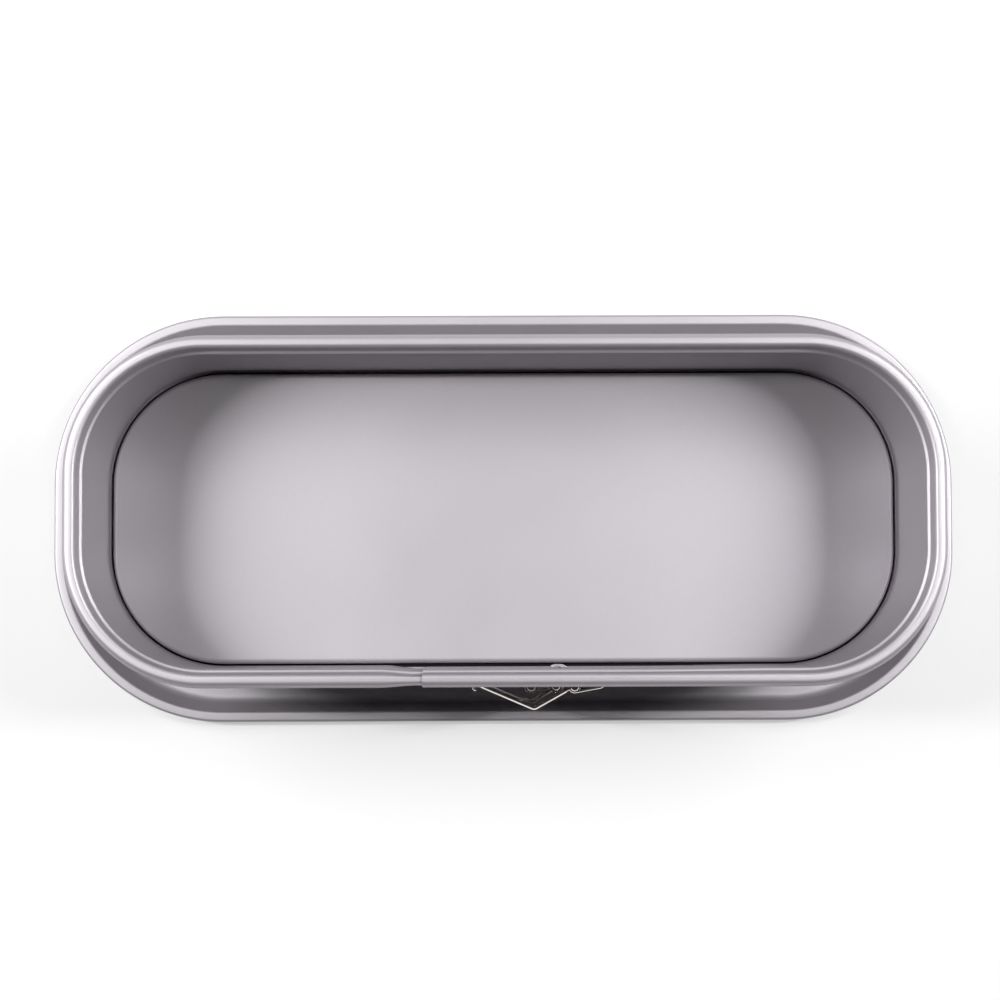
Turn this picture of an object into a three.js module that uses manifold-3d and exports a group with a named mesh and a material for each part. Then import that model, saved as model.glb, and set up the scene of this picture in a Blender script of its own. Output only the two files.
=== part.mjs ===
// Springform loaf pan.
// A pressed base plate with a drip trough carries a side ring. The ring is one strip of sheet whose two ends
// overlap at the front, where an over-centre clasp slides them over each other and so tightens the ring.
// Millimetres, +Z up, +X along the pan, clasp on the -Y side. Origin: centre of the underside.

import * as THREE from 'three';
import { mergeVertices } from 'three/addons/utils/BufferGeometryUtils.js';
import Module from 'manifold-3d';

const wasm = await Module();
wasm.setup();

// Fits
const CLEARANCE = 0.3; // between pieces that touch, slide or turn on each other

// Pan
const INSIDE_LENGTH = 302; // between the end walls of the ring
const INSIDE_WIDTH = 114; // between its side walls
const CORNER_RADIUS = 44; // inside wall at the four corners

// Base plate, a pressed sheet
const BASE_SHEET = 0.6;
const FLOOR_HEIGHT = 6; // top of the raised floor above the table
const FLOOR_EDGE_RADIUS = 2; // rounded-over edge of the floor
const FLOOR_FOOT_RADIUS = 0.5; // where the side of the floor turns into the trough
const TROUGH_RADIUS = 4; // where the trough turns up to the lip
const TROUGH_RISE_ANGLE = 60; // degrees, steepness of the outer side of the trough
const LIP_OVERHANG = 20.6; // from the inside wall of the ring to the outermost lip
const LIP_HEIGHT = 8; // top of the lip above the table
const LIP_BEND_RADIUS = 1; // from the outer side of the trough into the flat top of the lip
const LIP_FLAT = 2.1; // flat top of the lip
const LIP_RADIUS = 1; // rolled edge of the lip, outside
const LIP_CURL = 165; // degrees that this edge rolls down and under

// Side ring, one strip
const RING_SHEET = 0.5;
const RIM_HEIGHT = 74.5; // top of the rim above the table
const RIM_BEND_RADIUS = 1.45; // from the neck into the flat top of the rim
const RIM_FLAT = 0.9; // flat top of the rim
const RIM_RADIUS = 2.2; // from the top down to the outer side of the rim
const RIM_SKIRT = 0.9; // straight drop on the outer side of the rim
const RIM_FLARE_RADIUS = 1.6;
const RIM_FLARE = 28; // degrees that the cut edge of the rim turns out
const RIM_EDGE = 0.35; // last straight stretch up to the cut edge
const LEDGE_TURN = 70; // degrees that the wall turns out into the small ledge under the rim
const LEDGE_FLAT = 0.2; // straight stretch of that ledge
const LEDGE_RADIUS = 0.7; // bend from the wall into the ledge
const NECK_RADIUS = 1; // bend from the ledge up into the neck
const NECK_LENGTH = 4.6; // from the ledge up to the bend of the rim
const NECK_TILT = 5; // degrees that the neck leans out
const SIDE_LEAN = 0.9; // how far the long walls lean in at the top
const END_LEAN = 0.5; // how far the end walls do
const FOOT_STRAIGHT = 2; // upright stretch at the foot of the wall
const FOOT_BEND = 0.6; // how far the foot stands in from the wall
const FOOT_BEND_RISE = 1.1; // height of that bend
const FLOOR_GAP = 0.85; // from the foot of the ring to the side of the floor

// Overlap of the two ends of the ring
const OVERLAP_FOOT_BEND = 0.02; // both ends stand almost straight there
const INNER_END_X = -29.5; // cut edge of the inner end, seen inside the pan
const OUTER_END_MARGIN = 2; // band beyond the foot of the hinge bracket
const RUN_IN = 2; // overlap section continues this far past the other end
const OUTER_DRAW = 14; // stretch in which the outer end moves outside and takes a narrower rim
const INNER_DRAW = 48; // stretch in which the bends of the inner end grow softer

// Clasp, stamped sheet on three upright pins
const CLASP_SHEET = 1;
const CLASP_Z = 42; // middle of the clasp above the table
const PIN_STANDOFF = 5.34; // from the outer band to the line of the hinge and anchor pins
const PIN_RADIUS = 1.1;
const PIN_HEAD_RADIUS = 1.7;
const PIN_HEAD_HEIGHT = 0.6;
const HINGE_X = 25; // hinge pin of the lever
const LEVER_THROW = 6.8; // from the hinge pin to the link pin
const LINK_LENGTH = 8.9; // from the link pin to the anchor pin
const OVER_CENTRE = 0.3; // how far the link pin has passed the line of the other two when closed
const LEVER_HEIGHT = 24;
const LEVER_EYE_HEIGHT = 12;
const LEVER_BEND_BACK = 14.6; // from the hinge pin to the bend of the V, along the pan
const LEVER_BEND_OUT = 8.1; // and out from the pan
const LEVER_BEND_RADIUS = 2; // middle of the sheet
const LEVER_TIP_BACK = 35.4; // from the hinge pin to the start of the finger tip, along the pan
const LEVER_TIP_OUT = -0.8; // out from the pan, so the tip lies nearer to it than the pins
const TIP_ROLL_RADIUS = 0.9; // middle of the sheet
const TIP_ROLL = 210; // degrees
const EAR_REACH = 7; // how far the ears run along the tip side of the V
const EAR_CORNER = 2.6; // width of the ears at the bend
const EAR_END = 1.2; // width of the ears at their tip end
const KNUCKLE_RELIEF = 1; // free space around a knuckle for the sheet that swings past it
const LINK_HEIGHT = 14;
const ANCHOR_HEIGHT = 25;
const ANCHOR_LEAF = 13; // riveted leaf, from the riser to its free end
const ANCHOR_BEND_RADIUS = 1.2; // middle of the sheet
const HINGE_ARM_TILT = 10; // degrees, slope of the arm near the hinge pin
const HINGE_ARM = 9; // straight stretch of that arm
const HINGE_STEP_TILT = 52; // degrees, steep stretch that brings the arm to the band
const HINGE_BEND_RADIUS = 1.5; // middle of the sheet
const HINGE_FOOT = 9; // flat stretch welded to the outer band
const HINGE_ROLL = 290; // degrees that its knuckles turn round the pin
const ANCHOR_ROLL = 265;
const RIVET_RADIUS = 1.2;
const RIVET_HEAD_RADIUS = 2.8;
const RIVET_HEAD_HEIGHT = 0.8;
const RIVET_TAIL_RADIUS = 2;
const RIVET_TAIL_HEIGHT = 0.7;
const RIVET_SPACING = 14; // between the upper and the lower rivet
const RIVET_SETBACK = 8.4; // from the riser of the anchor bracket to the rivets
const WINDOW_MARGIN = 1; // free space round the anchor bracket in the window of the outer band

// Fineness of the facets
const CORNER_STEPS = 9;
const DRAW_STEPS = 4;
const ROUND_STEPS = 16;

// Derived sizes
const HALF_LENGTH = INSIDE_LENGTH / 2;
const HALF_WIDTH = INSIDE_WIDTH / 2;
const END_PITCH = RING_SHEET + CLEARANCE;
const RING_FOOT_Z = BASE_SHEET + CLEARANCE;
const FLOOR_SIDE_D = -(FOOT_BEND + FLOOR_GAP);
const LEAN_AT_CLASP = (SIDE_LEAN * CLASP_Z) / RIM_HEIGHT;
const BAND_FACE_Y = -(HALF_WIDTH + END_PITCH + RING_SHEET - LEAN_AT_CLASP);
const PIN_Y = BAND_FACE_Y - PIN_STANDOFF;
const EYE_BORE = PIN_RADIUS + CLEARANCE;
const EYE_RADIUS = EYE_BORE + CLASP_SHEET;
const EYE_MIDDLE = EYE_BORE + CLASP_SHEET / 2;
const RELIEF_RADIUS = EYE_RADIUS + KNUCKLE_RELIEF;
const LINK_X = HINGE_X - LEVER_THROW;
const LINK_Y = PIN_Y + OVER_CENTRE;
const ANCHOR_X = LINK_X - LINK_LENGTH;
const SPRING_TRAVEL = LEVER_THROW + LINK_LENGTH - 2 * EYE_RADIUS - CLEARANCE;
const INNER_FACE_Y = -(HALF_WIDTH - LEAN_AT_CLASP);
const ANCHOR_LEAF_Y = INNER_FACE_Y - RING_SHEET - CLEARANCE - CLASP_SHEET / 2;
const ANCHOR_RISER_X = ANCHOR_X + EYE_MIDDLE;
const RIVET_X = ANCHOR_RISER_X + RIVET_SETBACK;

const radians = THREE.MathUtils.degToRad;

// A line of sheet metal drawn by headings: straight stretches and arcs, each tangent to the last
class SheetLine {
  constructor(x, y, heading) {
    this.points = [];
    this.add(x, y, radians(heading));
  }

  add(x, y, heading) {
    this.x = x;
    this.y = y;
    this.heading = heading;
    this.points.push({ x, y, heading });
  }

  line(length) {
    const x = this.x + length * Math.cos(this.heading);
    const y = this.y + length * Math.sin(this.heading);
    this.add(x, y, this.heading);
    return this;
  }

  // A positive turn goes to the left
  arc(radius, turn, steps) {
    const side = Math.sign(turn);
    const centreX = this.x - side * radius * Math.sin(this.heading);
    const centreY = this.y + side * radius * Math.cos(this.heading);
    const start = this.heading;
    for (let step = 1; step <= steps; step += 1) {
      const heading = start + (radians(turn) * step) / steps;
      const x = centreX + side * radius * Math.sin(heading);
      const y = centreY - side * radius * Math.cos(heading);
      this.add(x, y, heading);
    }
    return this;
  }

  // Two equal arcs that move the line to the right by shift over a given rise
  doubleBend(shift, rise, steps) {
    const turn = 2 * Math.atan(shift / rise);
    const radius = rise / (2 * Math.sin(turn));
    const degrees = THREE.MathUtils.radToDeg(turn);
    return this.arc(radius, -degrees, steps).arc(radius, degrees, steps);
  }

  // The same line moved to its right
  moved(offset) {
    return this.points.map(({ x, y, heading }) => {
      return new THREE.Vector2(x + offset * Math.sin(heading), y - offset * Math.cos(heading));
    });
  }
}

function meshGeometry(vertices, triangles) {
  const geometry = new THREE.BufferGeometry();
  geometry.setAttribute('position', new THREE.Float32BufferAttribute(vertices.flat(), 3));
  geometry.setIndex(triangles.flat());
  geometry.computeVertexNormals();
  return geometry;
}

function solid(geometry) {
  const bare = geometry.clone();
  bare.deleteAttribute('normal');
  bare.deleteAttribute('uv');
  const merged = mergeVertices(bare, 1e-4);
  return new wasm.Manifold(new wasm.Mesh({
    numProp: 3,
    vertProperties: new Float32Array(merged.attributes.position.array),
    triVerts: new Uint32Array(merged.index.array),
  }));
}

function solidGeometry(body) {
  const mesh = body.getMesh();
  const geometry = new THREE.BufferGeometry();
  geometry.setAttribute('position', new THREE.BufferAttribute(new Float32Array(mesh.vertProperties), 3));
  geometry.setIndex(new THREE.BufferAttribute(new Uint32Array(mesh.triVerts), 1));
  geometry.computeVertexNormals();
  return geometry;
}

// An outline in plan raised to a height, with its middle at middleZ
function raised(shape, height, middleZ) {
  const geometry = new THREE.ExtrudeGeometry(shape, {
    depth: height,
    bevelEnabled: false,
    curveSegments: ROUND_STEPS,
  });
  return geometry.translate(0, 0, middleZ - height / 2);
}

// An upright round bar with its middle at the given point
function upright(radius, height, x, y, z) {
  const bar = new THREE.CylinderGeometry(radius, radius, height, 2 * ROUND_STEPS);
  return solid(bar.rotateX(Math.PI / 2).translate(x, y, z));
}

// A block that leans in with the front wall
function leaningBlock(minimum, maximum) {
  const size = maximum.clone().sub(minimum);
  const middle = minimum.clone().add(maximum).multiplyScalar(0.5);
  const box = new THREE.BoxGeometry(size.x, size.y, size.z).translate(middle.x, middle.y, middle.z);
  return solid(box.applyMatrix4(new THREE.Matrix4().makeShear(0, 0, 0, 0, 0, SIDE_LEAN / RIM_HEIGHT)));
}

// Plan outline of a strip that follows a line, half of its thickness on each side
function stripShape(line) {
  const half = CLASP_SHEET / 2;
  return new THREE.Shape([...line.moved(half), ...line.moved(-half).reverse()]);
}

function ringShape(outer, inner, x, y) {
  const shape = new THREE.Shape().absarc(x, y, outer, 0, 2 * Math.PI, false);
  shape.holes.push(new THREE.Path().absarc(x, y, inner, 0, 2 * Math.PI, true));
  return shape;
}

// Stations on the inside wall around one corner, each with its outward normal
function cornerStations(corner) {
  const signX = corner === 0 || corner === 1 ? 1 : -1;
  const signY = corner === 1 || corner === 2 ? 1 : -1;
  const centreX = signX * (HALF_LENGTH - CORNER_RADIUS);
  const centreY = signY * (HALF_WIDTH - CORNER_RADIUS);
  const stations = [];
  for (let step = 0; step <= CORNER_STEPS; step += 1) {
    const angle = (Math.PI / 2) * (corner - 1 + step / CORNER_STEPS);
    const normalX = Math.cos(angle);
    const normalY = Math.sin(angle);
    stations.push({
      x: centreX + CORNER_RADIUS * normalX,
      y: centreY + CORNER_RADIUS * normalY,
      normalX,
      normalY,
    });
  }
  return stations;
}

function frontStation(x) {
  return { x, y: -HALF_WIDTH, normalX: 0, normalY: -1 };
}

function place(station, point) {
  return [station.x + station.normalX * point.x, station.y + station.normalY * point.x, point.y];
}

// Section of the base plate, from the edge of the floor to the end of the lip
function baseSection() {
  const floorFlat = FLOOR_SIDE_D - FLOOR_EDGE_RADIUS;
  const side = FLOOR_HEIGHT - FLOOR_EDGE_RADIUS - FLOOR_FOOT_RADIUS - BASE_SHEET;
  const rise = radians(TROUGH_RISE_ANGLE);
  const lipD = LIP_OVERHANG - LIP_RADIUS - LIP_FLAT - LIP_BEND_RADIUS * Math.sin(rise);
  const lipZ = LIP_HEIGHT - LIP_BEND_RADIUS * (1 - Math.cos(rise));
  const bendTopZ = BASE_SHEET + TROUGH_RADIUS * (1 - Math.cos(rise));
  const slope = (lipZ - bendTopZ) / Math.sin(rise);
  const troughEnd = lipD - slope * Math.cos(rise) - TROUGH_RADIUS * Math.sin(rise);
  return new SheetLine(floorFlat, FLOOR_HEIGHT, 0)
    .arc(FLOOR_EDGE_RADIUS, -90, 5)
    .line(side)
    .arc(FLOOR_FOOT_RADIUS, 90, 3)
    .line(troughEnd - FLOOR_SIDE_D - FLOOR_FOOT_RADIUS)
    .arc(TROUGH_RADIUS, TROUGH_RISE_ANGLE, 4)
    .line(slope)
    .arc(LIP_BEND_RADIUS, -TROUGH_RISE_ANGLE, 3)
    .line(LIP_FLAT)
    .arc(LIP_RADIUS, -LIP_CURL, 6);
}

function basePlate() {
  const section = baseSection();
  const chain = [...section.moved(0), ...section.moved(BASE_SHEET).reverse()];
  const stations = [0, 1, 2, 3].flatMap(cornerStations);
  const vertices = stations.flatMap((station) => chain.map((point) => place(station, point)));
  const top = vertices.push([0, 0, chain[0].y]) - 1;
  const underside = vertices.push([0, 0, chain[chain.length - 1].y]) - 1;
  const triangles = [];
  stations.forEach((station, index) => {
    const here = index * chain.length;
    const next = ((index + 1) % stations.length) * chain.length;
    for (let i = 0; i < chain.length - 1; i += 1) {
      triangles.push([here + i, here + i + 1, next + i + 1], [here + i, next + i + 1, next + i]);
    }
    triangles.push([top, here, next], [underside, next + chain.length - 1, here + chain.length - 1]);
  });
  return meshGeometry(vertices, triangles);
}

// The three forms that the section of the ring takes along its strip. At the overlap both ends follow one
// line, moved out and made smaller by one pitch: the outer end lies on it and the inner end wraps over it.
const FULL = { nest: 0, foot: FOOT_BEND, offset: 0 };
const OUTER_END = { nest: END_PITCH, foot: OVERLAP_FOOT_BEND, offset: 0 };
const INNER_END = { nest: END_PITCH, foot: OVERLAP_FOOT_BEND, offset: -END_PITCH };

function between(first, second, share) {
  const blend = {};
  for (const key of Object.keys(first)) {
    blend[key] = THREE.MathUtils.lerp(first[key], second[key], share);
  }
  return blend;
}

// Section of the ring, from the foot of the wall to the cut edge of the rim
function ringSection(form, wallLean) {
  const turn = radians(LEDGE_TURN);
  const tilt = radians(NECK_TILT);
  const rimBend = RIM_BEND_RADIUS - form.nest;
  const neckTop = RIM_HEIGHT - form.nest - rimBend * (1 - Math.sin(tilt));
  const neckFoot = neckTop - NECK_LENGTH * Math.cos(tilt);
  const bends = LEDGE_RADIUS * Math.sin(turn) + NECK_RADIUS * (Math.sin(turn) - Math.sin(tilt));
  const wallTop = neckFoot - bends - LEDGE_FLAT * Math.cos(turn);
  const wallFoot = RING_FOOT_Z + FOOT_STRAIGHT + FOOT_BEND_RISE;
  const line = new SheetLine(form.nest - form.foot, RING_FOOT_Z, 90)
    .line(FOOT_STRAIGHT)
    .doubleBend(form.foot, FOOT_BEND_RISE, 2)
    .line(wallTop - wallFoot)
    .arc(LEDGE_RADIUS, -LEDGE_TURN, 3)
    .line(LEDGE_FLAT)
    .arc(NECK_RADIUS, LEDGE_TURN - NECK_TILT, 3)
    .line(NECK_LENGTH)
    .arc(rimBend, NECK_TILT - 90, 5)
    .line(RIM_FLAT)
    .arc(RIM_RADIUS - form.nest, -90, 5)
    .line(RIM_SKIRT)
    .arc(RIM_FLARE_RADIUS, RIM_FLARE, 2)
    .line(RIM_EDGE);
  const leaning = (point) => new THREE.Vector2(point.x - (wallLean * point.y) / RIM_HEIGHT, point.y);
  return {
    inner: line.moved(form.offset).map(leaning),
    outer: line.moved(form.offset + RING_SHEET).map(leaning),
  };
}

// Plan line of the hinge bracket, from its welded foot to the knuckle round the hinge pin
function hingeBracketLine(startX) {
  const footY = BAND_FACE_Y - CLEARANCE - CLASP_SHEET / 2;
  return new SheetLine(startX, footY, 180)
    .line(HINGE_FOOT)
    .arc(HINGE_BEND_RADIUS, HINGE_STEP_TILT, 4)
    .line(hingeStep())
    .arc(HINGE_BEND_RADIUS, HINGE_ARM_TILT - HINGE_STEP_TILT, 4)
    .line(HINGE_ARM)
    .arc(EYE_MIDDLE, -HINGE_ROLL, ROUND_STEPS);
}

// Length of the steep stretch that brings the arm from the band out to the knuckle
function hingeStep() {
  const tilt = radians(HINGE_ARM_TILT);
  const steep = radians(HINGE_STEP_TILT);
  const footToKnuckle = PIN_STANDOFF - CLEARANCE - CLASP_SHEET / 2 + EYE_MIDDLE * Math.cos(tilt);
  const firstBend = HINGE_BEND_RADIUS * (1 - Math.cos(steep));
  const secondBend = HINGE_BEND_RADIUS * (Math.cos(tilt) - Math.cos(steep));
  return (footToKnuckle - firstBend - secondBend - HINGE_ARM * Math.sin(tilt)) / Math.sin(steep);
}

// Free end of the hinge bracket's foot, so that its knuckle lies round the hinge pin
function hingeFootEndX() {
  const knuckleStart = hingeBracketLine(0).points.at(-1 - ROUND_STEPS);
  return HINGE_X + EYE_MIDDLE * Math.sin(radians(HINGE_ARM_TILT)) - knuckleStart.x;
}

const OUTER_END_X = hingeFootEndX() + OUTER_END_MARGIN;

function ringStations() {
  const stations = [];
  const add = (station, form) => {
    const wallLean = SIDE_LEAN * station.normalY ** 2 + END_LEAN * station.normalX ** 2;
    stations.push({ ...station, section: ringSection(form, wallLean) });
  };
  add(frontStation(INNER_END_X), INNER_END);
  for (let step = 0; step <= DRAW_STEPS; step += 1) {
    const share = step / DRAW_STEPS;
    const smooth = THREE.MathUtils.smoothstep(share, 0, 1);
    add(frontStation(OUTER_END_X + RUN_IN + share * INNER_DRAW), between(INNER_END, FULL, smooth));
  }
  for (const corner of [0, 1, 2, 3]) {
    cornerStations(corner).forEach((station) => add(station, FULL));
  }
  for (let step = 0; step <= DRAW_STEPS; step += 1) {
    const share = step / DRAW_STEPS;
    const smooth = THREE.MathUtils.smoothstep(share, 0, 1);
    add(frontStation(INNER_END_X - RUN_IN - (1 - share) * OUTER_DRAW), between(FULL, OUTER_END, smooth));
  }
  add(frontStation(OUTER_END_X), OUTER_END);
  return stations;
}

// The bare strip: the sections joined along the ring and closed at its two cut ends
function ringStrip() {
  const stations = ringStations();
  const count = stations[0].section.inner.length;
  const around = 2 * count;
  const vertices = stations.flatMap((station) => {
    const { inner, outer } = station.section;
    return [...inner, ...outer.slice().reverse()].map((point) => place(station, point));
  });
  const triangles = [];
  for (let index = 0; index < stations.length - 1; index += 1) {
    const here = index * around;
    const next = here + around;
    for (let i = 0; i < around; i += 1) {
      const j = (i + 1) % around;
      triangles.push([here + i, here + j, next + j], [here + i, next + j, next + i]);
    }
  }
  const last = (stations.length - 1) * around;
  for (let i = 0; i < count - 1; i += 1) {
    const across = around - 1 - i;
    triangles.push([across, i + 1, i], [across, across - 1, i + 1]);
    triangles.push([last + i, last + i + 1, last + across]);
    triangles.push([last + i + 1, last + across - 1, last + across]);
  }
  return meshGeometry(vertices, triangles);
}

function rivetHeights() {
  return { upper: CLASP_Z + RIVET_SPACING / 2, lower: CLASP_Z - RIVET_SPACING / 2 };
}

// A round hole along Y, from one depth to another
function rivetHole(z, fromY, toY) {
  const radius = RIVET_RADIUS + CLEARANCE;
  const hole = new THREE.CylinderGeometry(radius, radius, toY - fromY, ROUND_STEPS);
  return solid(hole.translate(RIVET_X, (fromY + toY) / 2, z));
}

// The strip with a window in its outer end for the anchor bracket, and rivet holes in its inner end
function sideRing() {
  const halfHeight = ANCHOR_HEIGHT / 2 + WINDOW_MARGIN;
  const betweenEnds = -(HALF_WIDTH + RING_SHEET + CLEARANCE / 2);
  const outside = -(HALF_WIDTH + END_PITCH + RING_SHEET + CLASP_SHEET);
  const windowStart = ANCHOR_RISER_X - CLASP_SHEET / 2 - WINDOW_MARGIN;
  const windowEnd = ANCHOR_RISER_X + ANCHOR_LEAF + SPRING_TRAVEL + WINDOW_MARGIN;
  const window = leaningBlock(
    new THREE.Vector3(windowStart, outside, CLASP_Z - halfHeight),
    new THREE.Vector3(windowEnd, betweenEnds, CLASP_Z + halfHeight),
  );
  let ring = solid(ringStrip()).subtract(window);
  for (const z of Object.values(rivetHeights())) {
    ring = ring.subtract(rivetHole(z, betweenEnds + LEAN_AT_CLASP, INNER_FACE_Y + CLASP_SHEET));
  }
  return solidGeometry(ring);
}

function hingeBracket() {
  const strip = raised(stripShape(hingeBracketLine(hingeFootEndX())), LEVER_HEIGHT, CLASP_Z);
  const relief = upright(RELIEF_RADIUS, LEVER_EYE_HEIGHT + 2 * CLEARANCE, HINGE_X, PIN_Y, CLASP_Z);
  return solidGeometry(solid(strip).subtract(relief));
}

function anchorBracket() {
  const riser = ANCHOR_LEAF_Y - PIN_Y - ANCHOR_BEND_RADIUS;
  const line = new SheetLine(ANCHOR_RISER_X + ANCHOR_LEAF, ANCHOR_LEAF_Y, 180)
    .line(ANCHOR_LEAF - ANCHOR_BEND_RADIUS)
    .arc(ANCHOR_BEND_RADIUS, 90, 4)
    .line(riser)
    .arc(EYE_MIDDLE, -ANCHOR_ROLL, ROUND_STEPS);
  const strip = raised(stripShape(line), ANCHOR_HEIGHT, CLASP_Z);
  const relief = upright(RELIEF_RADIUS, LINK_HEIGHT + 2 * CLEARANCE, ANCHOR_X, PIN_Y, CLASP_Z);
  let bracket = solid(strip).subtract(relief);
  for (const z of Object.values(rivetHeights())) {
    bracket = bracket.subtract(rivetHole(z, ANCHOR_LEAF_Y - CLASP_SHEET, ANCHOR_LEAF_Y + CLASP_SHEET));
  }
  return solidGeometry(bracket);
}

// Plan outline of the ears: along the hinge side of the V, round its bend and a little way up the tip side
function earShape(hingeSide, tipSide) {
  const bend = new THREE.Vector2(HINGE_X - LEVER_BEND_BACK, PIN_Y - LEVER_BEND_OUT);
  const inward = new THREE.Vector2(tipSide.y, -tipSide.x);
  const corner = hingeSide.clone().negate().add(tipSide).normalize();
  const tipEnd = bend.clone().addScaledVector(tipSide, EAR_REACH);
  return new THREE.Shape([
    new THREE.Vector2(HINGE_X, PIN_Y),
    bend,
    tipEnd,
    tipEnd.clone().addScaledVector(inward, EAR_END),
    bend.clone().addScaledVector(corner, EAR_CORNER),
    new THREE.Vector2(LINK_X, LINK_Y),
  ]);
}

function claspLever() {
  const hingeSide = new THREE.Vector2(-LEVER_BEND_BACK, -LEVER_BEND_OUT);
  const tipSide = new THREE.Vector2(LEVER_BEND_BACK - LEVER_TIP_BACK, LEVER_BEND_OUT - LEVER_TIP_OUT);
  const turn = THREE.MathUtils.radToDeg(tipSide.angle() - hingeSide.angle());
  const bendLength = LEVER_BEND_RADIUS * Math.tan(radians(-turn / 2));
  const start = hingeSide.clone().setLength(EYE_MIDDLE);
  const heading = THREE.MathUtils.radToDeg(hingeSide.angle());
  const line = new SheetLine(HINGE_X + start.x, PIN_Y + start.y, heading)
    .line(hingeSide.length() - EYE_MIDDLE - bendLength)
    .arc(LEVER_BEND_RADIUS, turn, 6)
    .line(tipSide.length() - bendLength)
    .arc(TIP_ROLL_RADIUS, TIP_ROLL, 10);
  let lever = solid(raised(stripShape(line), LEVER_HEIGHT, CLASP_Z));
  const ear = earShape(hingeSide.clone().normalize(), tipSide.clone().normalize());
  const boss = new THREE.Shape().absarc(LINK_X, LINK_Y, EYE_RADIUS, 0, 2 * Math.PI, false);
  const earOffset = (LEVER_HEIGHT - CLASP_SHEET) / 2;
  const knuckleHeight = (LEVER_HEIGHT - LEVER_EYE_HEIGHT) / 2;
  for (const side of [-1, 1]) {
    const earZ = CLASP_Z + side * earOffset;
    lever = lever.add(solid(raised(ear, CLASP_SHEET, earZ)));
    lever = lever.add(solid(raised(boss, CLASP_SHEET, earZ)));
    const reliefZ = CLASP_Z + side * (LEVER_EYE_HEIGHT + knuckleHeight + CLASP_SHEET) / 2;
    lever = lever.subtract(upright(RELIEF_RADIUS, knuckleHeight + CLASP_SHEET, HINGE_X, PIN_Y, reliefZ));
  }
  const eye = raised(ringShape(EYE_RADIUS, EYE_BORE, HINGE_X, PIN_Y), LEVER_EYE_HEIGHT, CLASP_Z);
  lever = lever.add(solid(eye));
  return solidGeometry(lever.subtract(upright(EYE_BORE, 2 * LEVER_HEIGHT, LINK_X, LINK_Y, CLASP_Z)));
}

// Plan outline of the link, with the anchor pin at its origin and the link pin on its +X axis.
// Its anchor end is a half-round cup, open towards the band.
function linkShape(length) {
  const rest = Math.asin(EYE_BORE / EYE_RADIUS);
  const shape = new THREE.Shape();
  shape.moveTo(-EYE_RADIUS, 0);
  shape.absarc(0, 0, EYE_RADIUS, Math.PI, 1.5 * Math.PI, false);
  shape.absarc(length, 0, EYE_RADIUS, -Math.PI / 2, Math.PI + rest, false);
  shape.absarc(0, 0, EYE_RADIUS, -rest, 0, false);
  shape.absarc(0, 0, EYE_BORE, 0, Math.PI, true);
  shape.closePath();
  shape.holes.push(new THREE.Path().absarc(length, 0, EYE_BORE, 0, 2 * Math.PI, true));
  return shape;
}

function claspLink() {
  const geometry = raised(linkShape(Math.hypot(LINK_LENGTH, OVER_CENTRE)), LINK_HEIGHT, CLASP_Z);
  return geometry.rotateZ(Math.atan2(OVER_CENTRE, LINK_LENGTH)).translate(ANCHOR_X, PIN_Y, 0);
}

// An upright pin with a flat head beyond each end of the knuckles that it holds
function pin(gripHeight, x, y) {
  const inside = gripHeight / 2 + CLEARANCE;
  const outside = inside + PIN_HEAD_HEIGHT;
  const profile = [
    new THREE.Vector2(0, -outside),
    new THREE.Vector2(PIN_HEAD_RADIUS, -outside),
    new THREE.Vector2(PIN_HEAD_RADIUS, -inside),
    new THREE.Vector2(PIN_RADIUS, -inside),
    new THREE.Vector2(PIN_RADIUS, inside),
    new THREE.Vector2(PIN_HEAD_RADIUS, inside),
    new THREE.Vector2(PIN_HEAD_RADIUS, outside),
    new THREE.Vector2(0, outside),
  ];
  return new THREE.LatheGeometry(profile, ROUND_STEPS).rotateX(Math.PI / 2).translate(x, y, CLASP_Z);
}

// A rivet along Y: domed head inside the pan, flat tail on the leaf of the anchor bracket
function rivet(z) {
  const headY = INNER_FACE_Y + CLEARANCE;
  const tailY = ANCHOR_LEAF_Y - CLASP_SHEET / 2 - CLEARANCE;
  const dome = [];
  const domeSteps = 4;
  for (let step = 0; step <= domeSteps; step += 1) {
    const angle = (Math.PI / 2) * (step / domeSteps);
    const reach = RIVET_HEAD_RADIUS * Math.cos(angle);
    dome.push(new THREE.Vector2(reach, headY + RIVET_HEAD_HEIGHT * Math.sin(angle)));
  }
  dome.at(-1).x = 0;
  const profile = [
    new THREE.Vector2(0, tailY - RIVET_TAIL_HEIGHT),
    new THREE.Vector2(RIVET_TAIL_RADIUS, tailY - RIVET_TAIL_HEIGHT),
    new THREE.Vector2(RIVET_TAIL_RADIUS, tailY),
    new THREE.Vector2(RIVET_RADIUS, tailY),
    new THREE.Vector2(RIVET_RADIUS, headY),
    ...dome,
  ];
  return new THREE.LatheGeometry(profile, ROUND_STEPS).translate(RIVET_X, 0, z);
}

const COATING = { color: 0xb2afb1, metalness: 0.55, roughness: 0.42 };
const PLATING = { color: 0xcbc4bf, metalness: 1, roughness: 0.18 };
const RIVET_STEEL = { color: 0xbfbcbd, metalness: 0.9, roughness: 0.3 };

const pan = new THREE.Group();

function addPiece(name, geometry, finish) {
  const mesh = new THREE.Mesh(geometry, new THREE.MeshStandardMaterial(finish));
  mesh.name = name;
  pan.add(mesh);
}

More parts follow.
